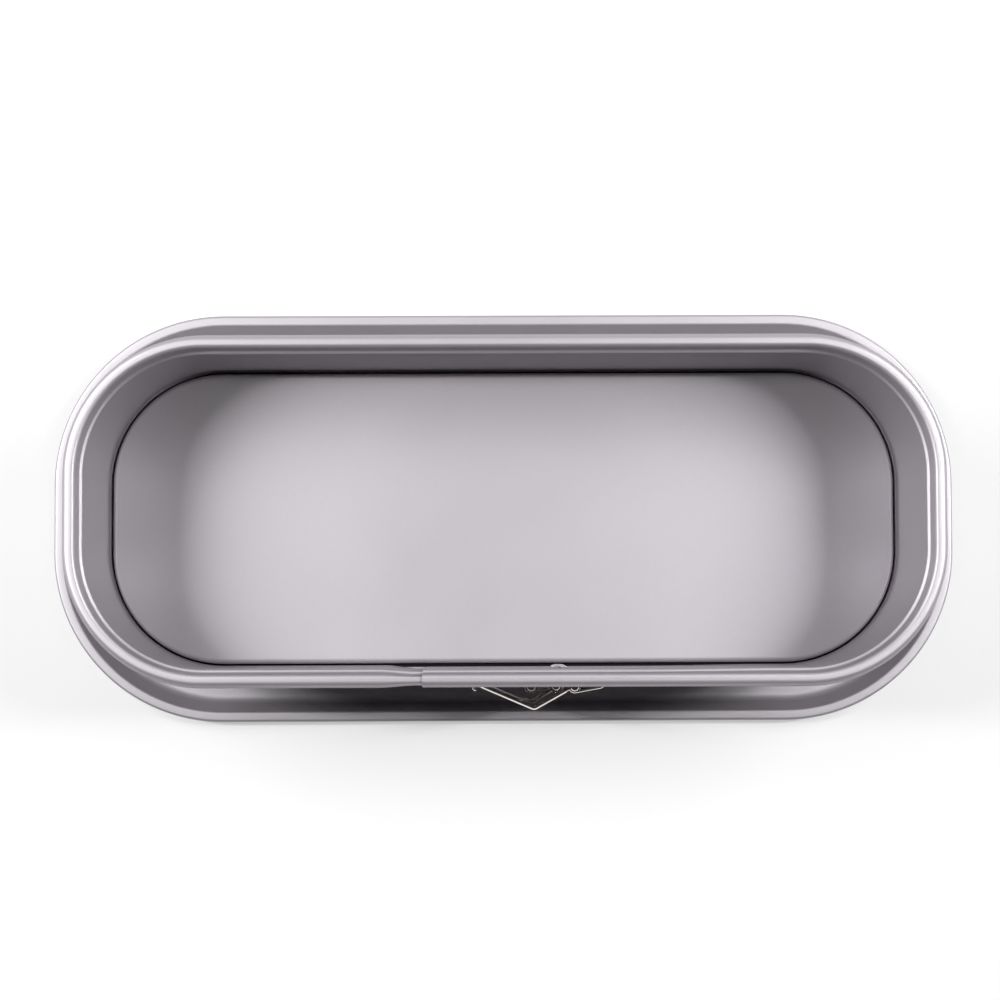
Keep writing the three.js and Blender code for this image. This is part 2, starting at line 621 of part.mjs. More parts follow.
addPiece('base_plate', basePlate(), COATING);
addPiece('side_ring', sideRing(), COATING);
addPiece('hinge_bracket', hingeBracket(), PLATING);
addPiece('anchor_bracket', anchorBracket(), PLATING);
addPiece('clasp_lever', claspLever(), PLATING);
addPiece('clasp_link', claspLink(), PLATING);
addPiece('hinge_pin', pin(LEVER_HEIGHT, HINGE_X, PIN_Y), PLATING);
addPiece('link_pin', pin(LEVER_HEIGHT, LINK_X, LINK_Y), PLATING);
addPiece('anchor_pin', pin(ANCHOR_HEIGHT, ANCHOR_X, PIN_Y), PLATING);
for (const [name, z] of Object.entries(rivetHeights())) {
  addPiece(`anchor_rivet_${name}`, rivet(z), RIVET_STEEL);
}

export default pan;
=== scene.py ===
"""Springform loaf pan: looks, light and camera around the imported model. Sizes in millimetres unless said."""

import math

import bmesh
import bpy
from mathutils import Euler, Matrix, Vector


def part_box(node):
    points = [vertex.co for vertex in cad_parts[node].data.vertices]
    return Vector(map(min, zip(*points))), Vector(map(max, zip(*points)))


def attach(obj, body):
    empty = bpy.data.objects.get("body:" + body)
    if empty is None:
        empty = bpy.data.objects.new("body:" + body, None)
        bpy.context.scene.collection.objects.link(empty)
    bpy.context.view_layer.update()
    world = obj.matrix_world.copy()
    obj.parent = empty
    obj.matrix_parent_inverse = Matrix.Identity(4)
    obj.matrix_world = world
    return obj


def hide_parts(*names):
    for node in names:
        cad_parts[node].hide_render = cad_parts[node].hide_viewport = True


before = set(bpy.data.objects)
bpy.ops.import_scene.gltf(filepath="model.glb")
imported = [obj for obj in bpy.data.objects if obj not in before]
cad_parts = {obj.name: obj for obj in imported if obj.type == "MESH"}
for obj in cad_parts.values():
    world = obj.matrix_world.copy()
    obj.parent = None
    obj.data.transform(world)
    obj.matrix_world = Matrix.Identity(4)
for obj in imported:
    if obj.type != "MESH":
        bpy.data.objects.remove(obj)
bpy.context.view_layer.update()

MM = 0.001

# Pan, as in the model
CLEARANCE = 0.3
INSIDE_LENGTH = 302
INSIDE_WIDTH = 114
CORNER_RADIUS = 44
HALF_LENGTH = INSIDE_LENGTH / 2
HALF_WIDTH = INSIDE_WIDTH / 2

# Base plate, angles in degrees
BASE_SHEET = 0.6
FLOOR_HEIGHT = 6
FLOOR_EDGE_RADIUS = 2
FLOOR_FOOT_RADIUS = 0.5
TROUGH_RADIUS = 4
TROUGH_RISE_ANGLE = 60
LIP_OVERHANG = 20.6
LIP_HEIGHT = 8
LIP_BEND_RADIUS = 1
LIP_FLAT = 2.1
LIP_RADIUS = 1
LIP_CURL = 165

# Side ring, angles in degrees
RING_SHEET = 0.5
RIM_HEIGHT = 74.5
RIM_BEND_RADIUS = 1.45
RIM_FLAT = 0.9
RIM_RADIUS = 2.2
RIM_SKIRT = 0.9
RIM_FLARE_RADIUS = 1.6
RIM_FLARE = 28
RIM_EDGE = 0.35
LEDGE_TURN = 70
LEDGE_FLAT = 0.2
LEDGE_RADIUS = 0.7
NECK_RADIUS = 1
NECK_LENGTH = 4.6
NECK_TILT = 5
SIDE_LEAN = 0.9
END_LEAN = 0.5
FOOT_STRAIGHT = 2
FOOT_BEND = 0.6
FOOT_BEND_RISE = 1.1
FLOOR_GAP = 0.85
OVERLAP_FOOT_BEND = 0.02
INNER_END_X = -29.5
RUN_IN = 2
OUTER_DRAW = 14
INNER_DRAW = 48
OUTER_END_MARGIN = 2
END_PITCH = RING_SHEET + CLEARANCE
RING_FOOT_Z = BASE_SHEET + CLEARANCE
LEDGE_ANGLE = math.radians(LEDGE_TURN)
NECK_ANGLE = math.radians(NECK_TILT)

# Form of the strip along the ring, and at its two overlapping ends
FULL = {"nest": 0, "foot": FOOT_BEND, "offset": 0}
OUTER_END = {"nest": END_PITCH, "foot": OVERLAP_FOOT_BEND, "offset": 0}
INNER_END = {"nest": END_PITCH, "foot": OVERLAP_FOOT_BEND, "offset": -END_PITCH}

# Gap between the floor's side and the ring, measured outwards from the inside wall; the corner of the gap is
# painted dark as shade
FLOOR_SIDE = -(FOOT_BEND + FLOOR_GAP)
GAP_END = 0
GAP_FADE = 0.3
GAP_TOLERANCE = 0.01

# Clasp, angles in degrees
CLASP_SHEET = 1
SHEET_EDGE = (0.5, 0.9, 0)  # half width and height of the rounding, and how far it lies inwards
HEM_EDGE = (0.9, 2.2, 0.4)
PIN_RADIUS = 1.1
PIN_HEAD_HEIGHT = 0.6
PIN_DOME = 0.7
EYE_BORE = PIN_RADIUS + CLEARANCE
EYE_RADIUS = EYE_BORE + CLASP_SHEET
EYE_MIDDLE = EYE_BORE + CLASP_SHEET / 2
KNUCKLE_RELIEF = 1
RELIEF_RADIUS = EYE_RADIUS + KNUCKLE_RELIEF
LEVER_THROW = 6.8
LEVER_EYE_HEIGHT = 12
LEVER_BEND_BACK = 14.6
LEVER_BEND_OUT = 8.1
LEVER_BEND_RADIUS = 2
LEVER_TIP_BACK = 35.4
LEVER_TIP_OUT = -0.8
TIP_ROLL_RADIUS = 0.9
TIP_ROLL = 210
EAR_REACH = 7
EAR_CORNER = 2.6
EAR_END = 1.2
EAR_DROP = 0.45
EAR_ROUNDING = 0.42
LINK_LENGTH = 8.9
LINK_HEIGHT = 14
ANCHOR_BEND_RADIUS = 1.2
ANCHOR_ROLL = 265
HINGE_ARM_TILT = 10
HINGE_ARM = 9
HINGE_STEP_TILT = 52
HINGE_BEND_RADIUS = 1.5
HINGE_FOOT = 9
HINGE_ROLL = 290
WINDOW_MARGIN = 1
WINDOW_CUT_REACH = 3
SPRING_TRAVEL = LEVER_THROW + LINK_LENGTH - 2 * EYE_RADIUS - CLEARANCE
EDGE_ROUNDING = 0.14

# Fineness of the visible meshes, angles in degrees
CORNER_STEPS = 36
DRAW_STEPS = 16
ROUND_STEPS = 32
EDGE_STEPS = 16
FLOOR_EDGE_STEPS = 12
FLOOR_FOOT_STEPS = 6
TROUGH_STEPS = 10
LIP_BEND_STEPS = 8
LIP_CURL_STEPS = 20
FOOT_BEND_STEPS = 5
LEDGE_STEPS = 8
RIM_STEPS = 14
FLARE_STEPS = 5
BRACKET_BEND_STEPS = 8
LEVER_BEND_STEPS = 12
TIP_ROLL_STEPS = 16
BEVEL_STEPS = 4
BEVEL_PROFILE = 0.5  # round
SMOOTH_ANGLE = 35
FINISHED_SMOOTH_ANGLE = 40
SHARP_ANGLE = 32
FLAT_ANGLE = 1
SAME_POINT = 0.002


class SheetLine:
    """A line of sheet metal drawn by headings: straight stretches and arcs, each tangent to the last."""

    def __init__(self, x, y, heading):
        self.points = []
        self.add(x, y, math.radians(heading))

    def add(self, x, y, heading):
        self.x, self.y, self.heading = x, y, heading
        self.points.append((x, y, heading))

    def line(self, length):
        x = self.x + length * math.cos(self.heading)
        y = self.y + length * math.sin(self.heading)
        self.add(x, y, self.heading)
        return self

    def arc(self, radius, turn, steps):
        side = 1 if turn > 0 else -1
        centre_x = self.x - side * radius * math.sin(self.heading)
        centre_y = self.y + side * radius * math.cos(self.heading)
        start = self.heading
        for step in range(1, steps + 1):
            heading = start + math.radians(turn) * step / steps
            x = centre_x + side * radius * math.sin(heading)
            y = centre_y - side * radius * math.cos(heading)
            self.add(x, y, heading)
        return self

    def double_bend(self, shift, rise, steps):
        turn = 2 * math.atan(shift / rise)
        radius = rise / (2 * math.sin(turn))
        degrees = math.degrees(turn)
        return self.arc(radius, -degrees, steps).arc(radius, degrees, steps)

    def moved(self, offset):
        return [
            (x + offset * math.sin(heading), y - offset * math.cos(heading))
            for x, y, heading in self.points
        ]


# Meshes


def linked(name, mesh, smooth_angle):
    """An object for a mesh, shaded smooth across edges up to an angle."""
    mesh.shade_smooth()
    mesh.set_sharp_from_angle(angle=math.radians(smooth_angle))
    piece = bpy.data.objects.new(name, mesh)
    bpy.context.scene.collection.objects.link(piece)
    return piece


def mesh_object(name, vertices, faces):
    mesh = bpy.data.meshes.new(name)
    mesh.from_pydata(vertices, [], faces)
    mesh.update()
    return linked(name, mesh, SMOOTH_ANGLE)


def bevel(work, edges, radius):
    """Rounds edges of a mesh that is being worked on."""
    bmesh.ops.bevel(
        work, geom=edges, offset=radius * MM, offset_type="OFFSET", segments=BEVEL_STEPS,
        profile=BEVEL_PROFILE, affect="EDGES", clamp_overlap=True,
    )


def joined(name, *bodies):
    """One piece made of several bodies."""
    vertices, faces = [], []
    for body_vertices, body_faces in bodies:
        first = len(vertices)
        vertices += body_vertices
        faces += [[first + index for index in face] for face in body_faces]
    piece = mesh_object(name, vertices, faces)
    work = bmesh.new()
    work.from_mesh(piece.data)
    bmesh.ops.recalc_face_normals(work, faces=work.faces)
    work.to_mesh(piece.data)
    work.free()
    return piece


def cut(piece, cutter):
    """Cuts one object out of another and removes the cutter."""
    modifier = piece.modifiers.new("cut", "BOOLEAN")
    modifier.object = cutter
    modifier.operation = "DIFFERENCE"
    modifier.solver = "EXACT"
    depsgraph = bpy.context.evaluated_depsgraph_get()
    mesh = bpy.data.meshes.new_from_object(piece.evaluated_get(depsgraph))
    piece.modifiers.clear()
    piece.data = mesh
    bpy.data.objects.remove(cutter)
    mesh.set_sharp_from_angle(angle=math.radians(SMOOTH_ANGLE))


def refined(node, rounding):
    """A copy of a piece with its facets merged and its edges rounded, which stands for the piece."""
    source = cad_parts[node]
    work = bmesh.new()
    work.from_mesh(source.data)
    bmesh.ops.remove_doubles(work, verts=work.verts, dist=SAME_POINT * MM)
    bmesh.ops.dissolve_limit(
        work, angle_limit=math.radians(FLAT_ANGLE), verts=work.verts, edges=work.edges,
        use_dissolve_boundaries=False,
    )
    limit = math.radians(SHARP_ANGLE)
    shared = [edge for edge in work.edges if len(edge.link_faces) == 2]
    bevel(work, [edge for edge in shared if edge.calc_face_angle(0) > limit], rounding)
    mesh = bpy.data.meshes.new(node + "_finished")
    work.to_mesh(mesh)
    work.free()
    return linked(node + "_finished", mesh, FINISHED_SMOOTH_ANGLE)


# Base plate and side ring. A point of a section is given as its distance out from the inside wall
# and its height.


def corner_stations(corner):
    """Stations on the inside wall around one corner: a place and the direction outwards."""
    sign_x = 1 if corner in (0, 1) else -1
    sign_y = 1 if corner in (1, 2) else -1
    centre_x = sign_x * (HALF_LENGTH - CORNER_RADIUS)
    centre_y = sign_y * (HALF_WIDTH - CORNER_RADIUS)
    stations = []
    for step in range(CORNER_STEPS + 1):
        angle = math.pi / 2 * (corner - 1 + step / CORNER_STEPS)
        out_x, out_y = math.cos(angle), math.sin(angle)
        stations.append((centre_x + CORNER_RADIUS * out_x, centre_y + CORNER_RADIUS * out_y, out_x, out_y))
    return stations


def place(station, point):
    """The point in space, in metres, of a point of the section at one station."""
    x, y, out_x, out_y = station
    out, z = point
    return ((x + out_x * out) * MM, (y + out_y * out) * MM, z * MM)


def base_section():
    """The upper side of the base plate, from the floor's edge to the end of the lip."""
    rise = math.radians(TROUGH_RISE_ANGLE)
    side = FLOOR_HEIGHT - FLOOR_EDGE_RADIUS - FLOOR_FOOT_RADIUS - BASE_SHEET
    lip_start = LIP_OVERHANG - LIP_RADIUS - LIP_FLAT - LIP_BEND_RADIUS * math.sin(rise)
    lip_z = LIP_HEIGHT - LIP_BEND_RADIUS * (1 - math.cos(rise))
    bend_top = BASE_SHEET + TROUGH_RADIUS * (1 - math.cos(rise))
    slope = (lip_z - bend_top) / math.sin(rise)
    trough_end = lip_start - slope * math.cos(rise) - TROUGH_RADIUS * math.sin(rise)
    line = SheetLine(FLOOR_SIDE - FLOOR_EDGE_RADIUS, FLOOR_HEIGHT, 0)
    line.arc(FLOOR_EDGE_RADIUS, -90, FLOOR_EDGE_STEPS).line(side)
    line.arc(FLOOR_FOOT_RADIUS, 90, FLOOR_FOOT_STEPS)
    line.line(GAP_END - FLOOR_SIDE - FLOOR_FOOT_RADIUS).line(GAP_FADE)
    line.line(trough_end - GAP_END - GAP_FADE)
    line.arc(TROUGH_RADIUS, TROUGH_RISE_ANGLE, TROUGH_STEPS).line(slope)
    line.arc(LIP_BEND_RADIUS, -TROUGH_RISE_ANGLE, LIP_BEND_STEPS).line(LIP_FLAT)
    return line.arc(LIP_RADIUS, -LIP_CURL, LIP_CURL_STEPS)


def base_plate():
    """The base plate, with an attribute that marks the corner of the gap, where shade is painted dark."""
    section = base_section()
    chain = section.moved(0) + section.moved(BASE_SHEET)[::-1]
    stations = [station for corner in range(4) for station in corner_stations(corner)]
    vertices = [place(station, point) for station in stations for point in chain]
    count = len(chain)
    faces = []
    for index in range(len(stations)):
        here = index * count
        following = (index + 1) % len(stations) * count
        for i in range(count - 1):
            faces.append((here + i, here + i + 1, following + i + 1, following + i))
    faces.append([index * count for index in range(len(stations))])
    faces.append([index * count + count - 1 for index in reversed(range(len(stations)))])
    piece = mesh_object("base_plate_sheet", vertices, faces)
    # Mask of painted shade: 1 in the corner of the gap under the ring's foot, fading to 0 just beyond it
    gap = piece.data.attributes.new("gap", "FLOAT", "POINT")
    corner_z = BASE_SHEET + FLOOR_FOOT_RADIUS / 2
    for index in range(len(vertices)):
        out, z = chain[index % count]
        on_top = index % count < count // 2
        in_gap = on_top and out < GAP_END + GAP_TOLERANCE and z < corner_z
        gap.data[index].value = 1.0 if in_gap else 0.0
    return piece


def between(first, second, share):
    return {key: first[key] + (second[key] - first[key]) * share for key in first}


def smooth(share):
    return share * share * (3 - 2 * share)


def ring_section(form, wall_lean):
    """Closed section of the strip at one station: foot, wall, ledge, neck and rolled rim."""
    rim_bend = RIM_BEND_RADIUS - form["nest"]
    neck_top = RIM_HEIGHT - form["nest"] - rim_bend * (1 - math.sin(NECK_ANGLE))
    neck_foot = neck_top - NECK_LENGTH * math.cos(NECK_ANGLE)
    neck_bend = NECK_RADIUS * (math.sin(LEDGE_ANGLE) - math.sin(NECK_ANGLE))
    bends = LEDGE_RADIUS * math.sin(LEDGE_ANGLE) + neck_bend
    wall_top = neck_foot - bends - LEDGE_FLAT * math.cos(LEDGE_ANGLE)
    wall_foot = RING_FOOT_Z + FOOT_STRAIGHT + FOOT_BEND_RISE
    line = SheetLine(form["nest"] - form["foot"], RING_FOOT_Z, 90).line(FOOT_STRAIGHT)
    line.double_bend(form["foot"], FOOT_BEND_RISE, FOOT_BEND_STEPS).line(wall_top - wall_foot)
    line.arc(LEDGE_RADIUS, -LEDGE_TURN, LEDGE_STEPS).line(LEDGE_FLAT)
    line.arc(NECK_RADIUS, LEDGE_TURN - NECK_TILT, LEDGE_STEPS).line(NECK_LENGTH)
    line.arc(rim_bend, NECK_TILT - 90, RIM_STEPS).line(RIM_FLAT)
    line.arc(RIM_RADIUS - form["nest"], -90, RIM_STEPS).line(RIM_SKIRT)
    line.arc(RIM_FLARE_RADIUS, RIM_FLARE, FLARE_STEPS).line(RIM_EDGE)
    chain = line.moved(form["offset"]) + line.moved(form["offset"] + RING_SHEET)[::-1]
    return [(out - wall_lean * z / RIM_HEIGHT, z) for out, z in chain]


def outer_end_x():
    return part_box("hinge_bracket")[1].x / MM + OUTER_END_MARGIN


def ring_stations():
    """Stations along the strip, from the cut edge of the inner end round to that of the outer end."""
    stations = []

    def front(x, form):
        stations.append(((x, -HALF_WIDTH, 0, -1), ring_section(form, SIDE_LEAN)))

    front(INNER_END_X, INNER_END)
    for step in range(DRAW_STEPS + 1):
        share = step / DRAW_STEPS
        front(outer_end_x() + RUN_IN + share * INNER_DRAW, between(INNER_END, FULL, smooth(share)))
    for corner in range(4):
        for station in corner_stations(corner):
            out_x, out_y = station[2:]
            wall_lean = SIDE_LEAN * out_y ** 2 + END_LEAN * out_x ** 2
            stations.append((station, ring_section(FULL, wall_lean)))
    for step in range(DRAW_STEPS + 1):
        share = step / DRAW_STEPS
        front(INNER_END_X - RUN_IN - (1 - share) * OUTER_DRAW, between(FULL, OUTER_END, smooth(share)))
    front(outer_end_x(), OUTER_END)
    return stations


def side_ring():
    """The strip of the ring, closed at both cut ends."""
    stations = ring_stations()
    count = len(stations[0][1])
    vertices = [place(station, point) for station, chain in stations for point in chain]
    faces = []
    for index in range(len(stations) - 1):
        here, following = index * count, (index + 1) * count
        for i in range(count):
            j = (i + 1) % count
            faces.append((here + i, here + j, following + j, following + i))
    last = (len(stations) - 1) * count
    for i in range(count // 2 - 1):
        across = count - 1 - i
        faces.append((across, across - 1, i + 1, i))
        faces.append((last + i, last + i + 1, last + across - 1, last + across))
    return mesh_object("side_ring_strip", vertices, faces)


def leaning_block(name, low, high):
    """A block that leans in with the front wall."""
    lean = SIDE_LEAN / RIM_HEIGHT
    corners = [
        (x, y + lean * z, z)
        for x in (low.x, high.x)
        for y in (low.y, high.y)
        for z in (low.z, high.z)
    ]
    faces = [(0, 1, 3, 2), (4, 6, 7, 5), (0, 4, 5, 1), (2, 3, 7, 6), (0, 2, 6, 4), (1, 5, 7, 3)]
    return mesh_object(name, corners, faces)


def window_cutter():
    """The space that the anchor bracket takes up in the outer end, with room for the ring to spring open."""
    low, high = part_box("anchor_bracket")
    riser = low.x + EYE_RADIUS * MM + EYE_BORE * MM
    start = Vector((
        riser - WINDOW_MARGIN * MM,
        -(HALF_WIDTH + WINDOW_CUT_REACH) * MM,
        low.z - WINDOW_MARGIN * MM,
    ))
    end = Vector((
        high.x + (SPRING_TRAVEL + WINDOW_MARGIN) * MM,
        -(HALF_WIDTH + RING_SHEET + CLEARANCE / 2) * MM,
        high.z + WINDOW_MARGIN * MM,
    ))
    return leaning_block("window", start, end)


# Clasp


def strip(points, low, high, edge=SHEET_EDGE):
    """A strip of sheet on edge along a plan line, between two heights, with rounded edges."""
    width, height, shift = edge
    start = -math.acos((CLASP_SHEET / 2 - shift) / width)
    end = math.pi + math.acos((CLASP_SHEET / 2 + shift) / width)
    section = []
    for step in range(EDGE_STEPS + 1):
        angle = start + (end - start) * step / EDGE_STEPS
        section.append((shift + width * math.cos(angle), high - height + height * math.sin(angle)))
    section += [(across, low + high - z) for across, z in reversed(section)]
    vertices = []
    for x, y, heading in points:
        side_x, side_y = math.sin(heading), -math.cos(heading)
        vertices += [
            ((x + side_x * across) * MM, (y + side_y * across) * MM, z * MM) for across, z in section
        ]
    count = len(section)
    faces = [list(range(count)), list(range(len(vertices) - count, len(vertices)))]
    for here in range(0, len(vertices) - count, count):
        for i in range(count):
            j = (i + 1) % count
            faces.append((here + i, here + j, here + count + j, here + count + i))
    return vertices, faces


def plate(outline, low, high):
    """A flat plate with a given plan outline."""
    count = len(outline)
    vertices = [(x * MM, y * MM, z * MM) for z in (low, high) for x, y in outline]
    faces = [list(range(count)), list(range(count, 2 * count))]
    faces += [(i, (i + 1) % count, count + (i + 1) % count, count + i) for i in range(count)]
    return vertices, faces


def rounded(body, radius):
    """A body with its edges rounded."""
    work = bmesh.new()
    corners = [work.verts.new(vertex) for vertex in body[0]]
    for face in body[1]:
        work.faces.new([corners[index] for index in face])
    bmesh.ops.recalc_face_normals(work, faces=work.faces)
    bevel(work, work.edges[:], radius)
    work.verts.index_update()
    vertices = [tuple(corner.co) for corner in work.verts]
    faces = [[corner.index for corner in face.verts] for face in work.faces]
    work.free()
    return vertices, faces


def rings_about(axis, profile):
    """Rings of points about an upright axis, one for each radius and height of a profile."""
    points = []
    for radius, z in profile:
        for step in range(ROUND_STEPS):
            angle = 2 * math.pi * step / ROUND_STEPS
            x = axis.x + radius * math.cos(angle)
            y = axis.y + radius * math.sin(angle)
            points.append((x * MM, y * MM, z * MM))
    return points


def turned(profile, axis):
    """A round body about an upright axis, from a profile of radius and height that starts and ends on it."""
    vertices = [(axis.x * MM, axis.y * MM, z * MM) for z in (profile[0][1], profile[-1][1])]
    rings = profile[1:-1]
    vertices += rings_about(axis, rings)
    faces = []
    for step in range(ROUND_STEPS):
        following = (step + 1) % ROUND_STEPS
        faces.append((0, 2 + following, 2 + step))
        for ring in range(len(rings) - 1):
            here, above = 2 + ring * ROUND_STEPS, 2 + (ring + 1) * ROUND_STEPS
            faces.append((here + step, here + following, above + following, above + step))
        faces.append((1, above + step, above + following))
    return vertices, faces


def eye(axis, low, high):
    """A round eye with a bore and rounded outer edges."""
    half = [(EYE_BORE, low)]
    for step in range(EDGE_STEPS + 1):
        angle = math.pi / 2 * step / EDGE_STEPS
        inset = EAR_ROUNDING * (1 - math.sin(angle))
        rise = EAR_ROUNDING * (1 - math.cos(angle))
        half.append((EYE_RADIUS - inset, low + rise))
    profile = half + [(radius, low + high - z) for radius, z in reversed(half)]
    faces = []
    for ring in range(len(profile)):
        here, above = ring * ROUND_STEPS, (ring + 1) % len(profile) * ROUND_STEPS
        for step in range(ROUND_STEPS):
            following = (step + 1) % ROUND_STEPS
            faces.append((here + step, here + following, above + following, above + step))
    return rings_about(axis, profile), faces


def node_box(node):
    low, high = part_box(node)
    return low / MM, high / MM


def pin_axis(node):
    low, high = node_box(node)
    return (low + high) / 2


def knuckled(points, relieved, low, high, gap):
    """A strip with a gap in its last stretch, the knuckle, for another knuckle on the same pin."""
    middle = (low + high) / 2
    split = len(points) - relieved
    main = strip(points[:split], low, high)
    lower = strip(points[split - 1:], low, middle - gap / 2)
    upper = strip(points[split - 1:], middle + gap / 2, high)
    return main, lower, upper


def relief_run():
    """The straight stretch before a knuckle that lies within the other knuckle's free space."""
    return math.sqrt(RELIEF_RADIUS ** 2 - EYE_MIDDLE ** 2)


def hinge_bracket():
    low, high = node_box("hinge_bracket")
    axis = pin_axis("hinge_pin")
    tilt, steep = math.radians(HINGE_ARM_TILT), math.radians(HINGE_STEP_TILT)
    foot_y = high.y - CLASP_SHEET / 2
    bends = HINGE_BEND_RADIUS * (1 + math.cos(tilt) - 2 * math.cos(steep))
    reach = foot_y - axis.y + EYE_MIDDLE * math.cos(tilt) - bends - HINGE_ARM * math.sin(tilt)
    line = SheetLine(high.x, foot_y, 180).line(HINGE_FOOT)
    line.arc(HINGE_BEND_RADIUS, HINGE_STEP_TILT, BRACKET_BEND_STEPS).line(reach / math.sin(steep))
    line.arc(HINGE_BEND_RADIUS, HINGE_ARM_TILT - HINGE_STEP_TILT, BRACKET_BEND_STEPS)
    line.line(HINGE_ARM - relief_run()).line(relief_run()).arc(EYE_MIDDLE, -HINGE_ROLL, ROUND_STEPS)
    gap = LEVER_EYE_HEIGHT + 2 * CLEARANCE
    return joined("hinge_bracket_strip", *knuckled(line.points, ROUND_STEPS + 1, low.z, high.z, gap))


def anchor_bracket():
    low, high = node_box("anchor_bracket")
    axis = pin_axis("anchor_pin")
    leaf_y = high.y - CLASP_SHEET / 2
    leaf = high.x - axis.x - EYE_MIDDLE - ANCHOR_BEND_RADIUS
    riser = leaf_y - axis.y - ANCHOR_BEND_RADIUS
    line = SheetLine(high.x, leaf_y, 180).line(leaf).arc(ANCHOR_BEND_RADIUS, 90, BRACKET_BEND_STEPS)
    line.line(riser - relief_run()).line(relief_run()).arc(EYE_MIDDLE, -ANCHOR_ROLL, ROUND_STEPS)
    gap = LINK_HEIGHT + 2 * CLEARANCE
    return joined("anchor_bracket_strip", *knuckled(line.points, ROUND_STEPS + 1, low.z, high.z, gap))


def clasp_lever():
    """The lever: an eye on a neck, a hemmed V with a rolled tip, and an ear with a boss at each edge."""
    low, high = node_box("clasp_lever")
    middle = (low.z + high.z) / 2
    hinge, link = pin_axis("hinge_pin").xy, pin_axis("link_pin")
    bend = hinge + Vector((-LEVER_BEND_BACK, -LEVER_BEND_OUT))
    tip = hinge + Vector((-LEVER_TIP_BACK, -LEVER_TIP_OUT))
    hinge_side, tip_side = (bend - hinge).normalized(), (tip - bend).normalized()
    turn = -math.degrees(hinge_side.angle(tip_side))
    bend_run = LEVER_BEND_RADIUS * math.tan(math.radians(-turn / 2))
    heading = math.degrees(math.atan2(hinge_side.y, hinge_side.x))
    root = hinge + hinge_side * EYE_MIDDLE
    shoulder = hinge + hinge_side * RELIEF_RADIUS
    neck = SheetLine(*root, heading).line(RELIEF_RADIUS - EYE_MIDDLE)
    line = SheetLine(*shoulder, heading).line((bend - shoulder).length - bend_run)
    line.arc(LEVER_BEND_RADIUS, turn, LEVER_BEND_STEPS).line((tip - bend).length - bend_run)
    roll = SheetLine(line.x, line.y, math.degrees(line.heading))
    roll.arc(TIP_ROLL_RADIUS, TIP_ROLL, TIP_ROLL_STEPS)
    eye_low, eye_high = middle - LEVER_EYE_HEIGHT / 2, middle + LEVER_EYE_HEIGHT / 2
    bodies = [strip(neck.points, eye_low, eye_high), eye(hinge, eye_low, eye_high)]
    bodies += [strip(line.points, low.z, high.z, HEM_EDGE), strip(roll.points, low.z, high.z)]
    inward = Vector((tip_side.y, -tip_side.x))
    corner = (tip_side - hinge_side).normalized()
    tip_end = bend + tip_side * EAR_REACH
    ear = (shoulder, bend, tip_end, tip_end + inward * EAR_END, bend + corner * EAR_CORNER, link.xy)
    for boss_low, ear_low in (
        (low.z, low.z + EAR_DROP),
        (high.z - CLASP_SHEET, high.z - CLASP_SHEET - EAR_DROP),
    ):
        bodies.append(rounded(plate(ear, ear_low, ear_low + CLASP_SHEET), EAR_ROUNDING))
        bodies.append(eye(link, boss_low, boss_low + CLASP_SHEET))
    return joined("clasp_lever_strip", *bodies)


def pin(node):
    """A pin with a domed head at each end."""
    low, high = node_box(node)
    head_radius = (high.x - low.x) / 2
    dome = []
    for step in range(EDGE_STEPS + 1):
        angle = math.pi / 2 * step / EDGE_STEPS
        height = (PIN_HEAD_HEIGHT + PIN_DOME) * math.cos(angle)
        dome.append((head_radius * math.sin(angle), low.z + PIN_HEAD_HEIGHT - height))
    half = dome + [(PIN_RADIUS, low.z + PIN_HEAD_HEIGHT)]
    profile = half + [(radius, low.z + high.z - z) for radius, z in reversed(half)]
    return joined(node + "_turned", turned(profile, pin_axis(node)))


# Materials. A noise is given by its scale, detail and roughness, and a bump by its strength and its
# height in metres.

COATING_DARK = (0.500, 0.475, 0.505)
COATING_LIGHT = (0.570, 0.545, 0.575)
# Painted shade: a near-black colour for the corner of the gap where the ring's foot stands
PAINTED_GAP_SHADE = (0.02, 0.019, 0.02)
COATING_METALLIC = 0.8
COATING_ROUGHNESS = (0.48, 0.56)
COATING_EDGE = 0.1  # tint of the sheen at a flat angle
COATING_GLOSS = 0.1
COATING_GLOSS_ROUGHNESS = 0.25
GRAIN_NOISE = (2600, 3, 0.6)
GRAIN_BUMP = (0.25, 0.00004)
CLOUD_NOISE = (38, 4, 0.5)

PLATING_DARK = (0.76, 0.68, 0.65)
PLATING_LIGHT = (0.90, 0.85, 0.83)
PLATING_ROUGHNESS = (0.03, 0.08)
PIN_ROUGHNESS = (0.08, 0.18)
RIVET_ROUGHNESS = (0.24, 0.36)
LINE_STRETCH = (1, 1, 0.08)
LINE_NOISE = (3200, 2, 0.5)
LINE_BUMP = (0.08, 0.00002)
TONE_NOISE = (240, 3, 0.5)


def new_material(name):
    material = bpy.data.materials.new(name)
    material.use_nodes = True
    nodes, links = material.node_tree.nodes, material.node_tree.links
    return material, nodes, links, nodes["Principled BSDF"]


def add_noise(nodes, links, coordinates, scale, detail, roughness):
    noise = nodes.new("ShaderNodeTexNoise")
    noise.inputs["Scale"].default_value = scale
    noise.inputs["Detail"].default_value = detail
    noise.inputs["Roughness"].default_value = roughness
    links.new(coordinates, noise.inputs["Vector"])
    return noise.outputs["Fac"]


def add_ramp(nodes, links, factor, low, high):
    ramp = nodes.new("ShaderNodeMapRange")
    ramp.inputs["To Min"].default_value = low
    ramp.inputs["To Max"].default_value = high
    links.new(factor, ramp.inputs["Value"])
    return ramp.outputs["Result"]


def add_bump(nodes, links, height, shader, strength, distance):
    bump = nodes.new("ShaderNodeBump")
    bump.inputs["Strength"].default_value = strength
    bump.inputs["Distance"].default_value = distance
    links.new(height, bump.inputs["Height"])
    links.new(bump.outputs["Normal"], shader.inputs["Normal"])


